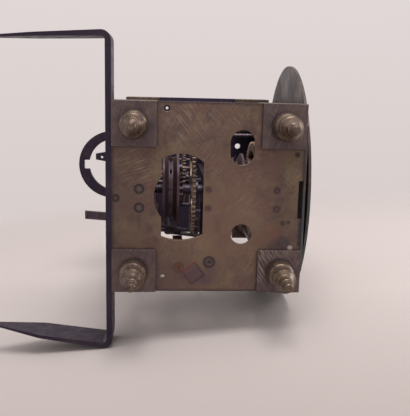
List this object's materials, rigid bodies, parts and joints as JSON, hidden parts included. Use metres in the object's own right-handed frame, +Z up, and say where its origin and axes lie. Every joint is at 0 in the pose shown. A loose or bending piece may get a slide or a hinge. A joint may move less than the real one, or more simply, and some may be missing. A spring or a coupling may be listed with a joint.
{
  "type": "lantern clock movement",
  "caption": "Weight-driven two-train clock movement with turned corner posts, chapter ring, wall bracket and hanging hoop, for a rope-hung wall clock.",
  "frame": {"origin": "centre of the two square plates, on the plane that the four feet stand on", "axes": "+Z up from the feet to the finials; -Y is the dial side, +Y the wall side; +X is to the right seen from the dial side"},
  "size_m": [0.2365, 0.2504, 0.293],
  "materials": {
    "brass_plate": "tarnished, finely scratched",
    "brass_turned": "tarnished, worn bright on the turned edges",
    "brass_wheel": "dull brass with dark oil in the teeth",
    "dial_brass": "grey-brown tarnish with dark spots",
    "iron_black": "black forged iron, slightly glossy",
    "steel": "grey steel, dull",
    "copper_screw": "reddish tarnished screw"
  },
  "bodies": {
    "frame": {"bottom_plate": "brass_plate", "top_plate": "brass_plate", "pillar_front_left": "brass_turned", "pillar_front_right": "brass_turned", "pillar_back_left": "brass_turned", "pillar_back_right": "brass_turned", "foot_front_left": "brass_turned", "foot_front_right": "brass_turned", "foot_back_left": "brass_turned", "foot_back_right": "brass_turned", "finial_front_left": "brass_turned", "finial_front_right": "brass_turned", "finial_back_left": "brass_turned", "finial_back_right": "brass_turned", "front_bar": "iron_black", "middle_bar": "iron_black", "back_bar": "iron_black", "bar_wedges": "steel", "wall_bracket": "iron_black", "bracket_screws": "steel", "hanging_hoop": "iron_black", "hoop_rivets": "iron_black", "suspension_cock": "iron_black", "cock_screws": "steel", "dial_plate": "brass_plate", "dial_lugs": "brass_plate", "chapter_ring": "dial_brass", "wheel_studs": "steel", "hand_pin": "steel", "hammer_spring": "copper_screw", "hammer_stop": "steel"},
    "going_great": {"going_great_wheel": "brass_wheel", "going_great_arbor": "steel", "going_pulley": "iron_black"},
    "second": {"second_wheel": "brass_wheel", "second_arbor": "steel"},
    "escape": {"escape_wheel": "brass_wheel", "escape_arbor": "steel"},
    "anchor": {"anchor": "iron_black", "anchor_arbor": "steel", "crutch": "iron_black"},
    "hour": {"hour_wheel": "brass_wheel", "star_wheel": "steel"},
    "hand": {"hour_hand": "iron_black"},
    "strike_great": {"strike_great_wheel": "brass_wheel", "strike_great_arbor": "steel", "hammer_pins": "steel", "click_spring": "steel"},
    "strike_pulley": {"strike_pulley": "iron_black"},
    "click": {"click": "steel"},
    "hoop": {"hoop_wheel": "brass_wheel", "hoop_arbor": "steel"},
    "warning": {"warning_wheel": "brass_wheel", "warning_arbor": "steel"},
    "fly": {"fly": "brass_plate", "fly_arbor": "steel"},
    "count": {"count_wheel": "brass_wheel"},
    "hammer": {"hammer": "iron_black"},
    "lifting": {"lifting_lever": "iron_black"},
    "detent": {"locking_detent": "iron_black"}
  },
  "joints": [
    {"name": "second_turn", "type": "hinge", "parent": "frame", "child": "second", "pos_m": [0, -0.025, 0.13975], "axis": [0, 1, 0], "continuous": true},
    {"name": "going_great_turn", "type": "hinge", "parent": "frame", "child": "going_great", "pos_m": [0, -0.025, 0.09725], "axis": [0, 1, 0], "continuous": true},
    {"name": "escape_turn", "type": "hinge", "parent": "frame", "child": "escape", "pos_m": [0, -0.025, 0.17913], "axis": [0, 1, 0], "continuous": true},
    {"name": "hour_turn", "type": "hinge", "parent": "frame", "child": "hour", "pos_m": [0, -0.06, 0.146], "axis": [0, 1, 0], "continuous": true},
    {"name": "hand_set", "type": "hinge", "parent": "hour", "child": "hand", "pos_m": [0, -0.08, 0.146], "axis": [0, 1, 0], "continuous": true},
    {"name": "anchor_swing", "type": "hinge", "parent": "frame", "child": "anchor", "pos_m": [-0.009, 0, 0.224], "axis": [0, 1, 0], "range_deg": [-3, 3]},
    {"name": "hoop_turn", "type": "hinge", "parent": "frame", "child": "hoop", "pos_m": [0, 0.025, 0.12937], "axis": [0, 1, 0], "continuous": true},
    {"name": "strike_great_turn", "type": "hinge", "parent": "frame", "child": "strike_great", "pos_m": [0, 0.025, 0.09], "axis": [0, 1, 0], "continuous": true},
    {"name": "warning_turn", "type": "hinge", "parent": "frame", "child": "warning", "pos_m": [0, 0.025, 0.16087], "axis": [0, 1, 0], "continuous": true},
    {"name": "fly_turn", "type": "hinge", "parent": "frame", "child": "fly", "pos_m": [0, 0.025, 0.18787], "axis": [0, 1, 0], "continuous": true},
    {"name": "count_turn", "type": "hinge", "parent": "frame", "child": "count", "pos_m": [0, 0.058, 0.1244], "axis": [0, 1, 0], "continuous": true},
    {"name": "pulley_wind", "type": "hinge", "parent": "strike_great", "child": "strike_pulley", "pos_m": [0, 0.0275, 0.09], "axis": [0, 1, 0], "continuous": true},
    {"name": "click_lift", "type": "hinge", "parent": "strike_great", "child": "click", "pos_m": [-0.01556, 0.019, 0.10556], "axis": [0, 1, 0], "range_deg": [-6, 0]},
    {"name": "hammer_lift", "type": "hinge", "parent": "frame", "child": "hammer", "pos_m": [0.04, 0.025, 0.118], "axis": [0, 1, 0], "range_deg": [-6, 0]},
    {"name": "lifting_swing", "type": "hinge", "parent": "frame", "child": "lifting", "pos_m": [-0.04, 0, 0.15], "axis": [0, 1, 0], "range_deg": [-7, 0]},
    {"name": "detent_swing", "type": "hinge", "parent": "frame", "child": "detent", "pos_m": [-0.04, 0.025, 0.172], "axis": [0, 1, 0], "range_deg": [-8, 0]}
  ],
  "couplings": [
    {"joint": "going_great_turn", "follows": "second_turn", "ratio": -0.13333},
    {"joint": "escape_turn", "follows": "second_turn", "ratio": -8},
    {"joint": "hour_turn", "follows": "second_turn", "ratio": 0.011111},
    {"joint": "strike_great_turn", "follows": "hoop_turn", "ratio": -0.125},
    {"joint": "warning_turn", "follows": "hoop_turn", "ratio": -8},
    {"joint": "fly_turn", "follows": "hoop_turn", "ratio": 64},
    {"joint": "count_turn", "follows": "hoop_turn", "ratio": 0.012821}
  ]
}
